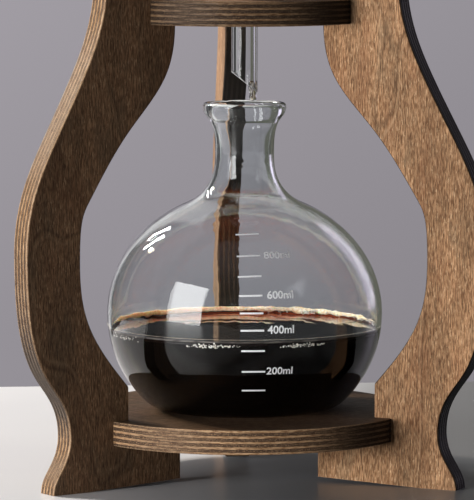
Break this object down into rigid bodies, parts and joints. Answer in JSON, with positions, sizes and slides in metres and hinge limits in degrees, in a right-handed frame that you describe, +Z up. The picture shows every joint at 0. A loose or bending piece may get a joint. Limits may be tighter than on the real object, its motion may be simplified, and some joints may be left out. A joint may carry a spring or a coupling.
{
  "type": "cold drip coffee tower",
  "caption": "Curved plywood tripod stand with shelves carrying a round glass flask of coffee, a glass brew chamber with a drip stem and a glass water globe with a stopcock.",
  "frame": {"origin": "on the tower's axis at the level of the table, the centre of the circle of its three feet", "axes": "+Z up; -Y is the front, where the flask slides out between two legs and the stopcock's knob points; +X is the right seen from the front; the rear leg stands on +Y"},
  "size_m": [0.2204, 0.2023, 0.6034],
  "materials": {
    "stained_plywood": "walnut-stained birch plywood, thin satin oil, plies showing on the edges",
    "turned_wood": "turned walnut-stained wood, satin",
    "dowel_wood": "plain beech dowel",
    "flask_glass": "clear blown borosilicate glass with white printed volume marks",
    "clear_glass": "clear blown borosilicate glass, fire-polished rims",
    "coffee": "black coffee, reddish brown where it is thin, a line of fine foam at its edge",
    "grounds": "moist ground coffee",
    "filter_paper": "damp round filter paper",
    "silicone": "translucent milky silicone",
    "steel": "turned stainless steel",
    "knob_steel": "bead-blasted stainless steel with finger flutes",
    "seal_plastic": "white PTFE washer"
  },
  "bodies": {
    "stand": {"leg_rear": "stained_plywood", "leg_left": "stained_plywood", "leg_right": "stained_plywood", "base_shelf": "stained_plywood", "middle_shelf": "stained_plywood", "top_ring": "stained_plywood", "base_dowels": "dowel_wood", "middle_dowels": "dowel_wood", "ring_dowels": "dowel_wood", "chamber_grommet": "silicone", "globe_seat": "silicone"},
    "flask_set": {"flask": "flask_glass", "brewed_coffee": "coffee"},
    "brewer": {"brew_chamber": "clear_glass", "filter_disc": "steel", "filter_seal": "silicone", "coffee_grounds": "grounds", "paper_filter": "filter_paper"},
    "reservoir": {"water_globe": "clear_glass", "outlet_bolt": "steel", "inner_gasket": "silicone", "outer_gasket": "silicone", "cock_body": "steel", "drip_nozzle": "steel"},
    "cock_turning": {"cock_plug": "steel", "cock_knob": "knob_steel", "knob_screw": "steel", "plug_washer": "seal_plastic", "plug_nut": "steel"},
    "lid": {"globe_lid": "stained_plywood", "lid_knob": "turned_wood", "lid_seal": "silicone"}
  },
  "joints": [
    {"name": "flask_slide", "type": "slide", "parent": "stand", "child": "flask_set", "axis": [0, -1, 0], "range_m": [0, 0.2]},
    {"name": "chamber_lift", "type": "slide", "parent": "stand", "child": "brewer", "axis": [0, 0, 1], "range_m": [0, 0.049]},
    {"name": "globe_lift", "type": "slide", "parent": "stand", "child": "reservoir", "axis": [0, 0, 1], "range_m": [0, 0.13]},
    {"name": "lid_lift", "type": "slide", "parent": "reservoir", "child": "lid", "axis": [0, 0, 1], "range_m": [0, 0.05]},
    {"name": "cock_turn", "type": "hinge", "parent": "reservoir", "child": "cock_turning", "pos_m": [0, 0, 0.417], "axis": [0, -1, 0], "range_deg": [0, 90]}
  ]
}
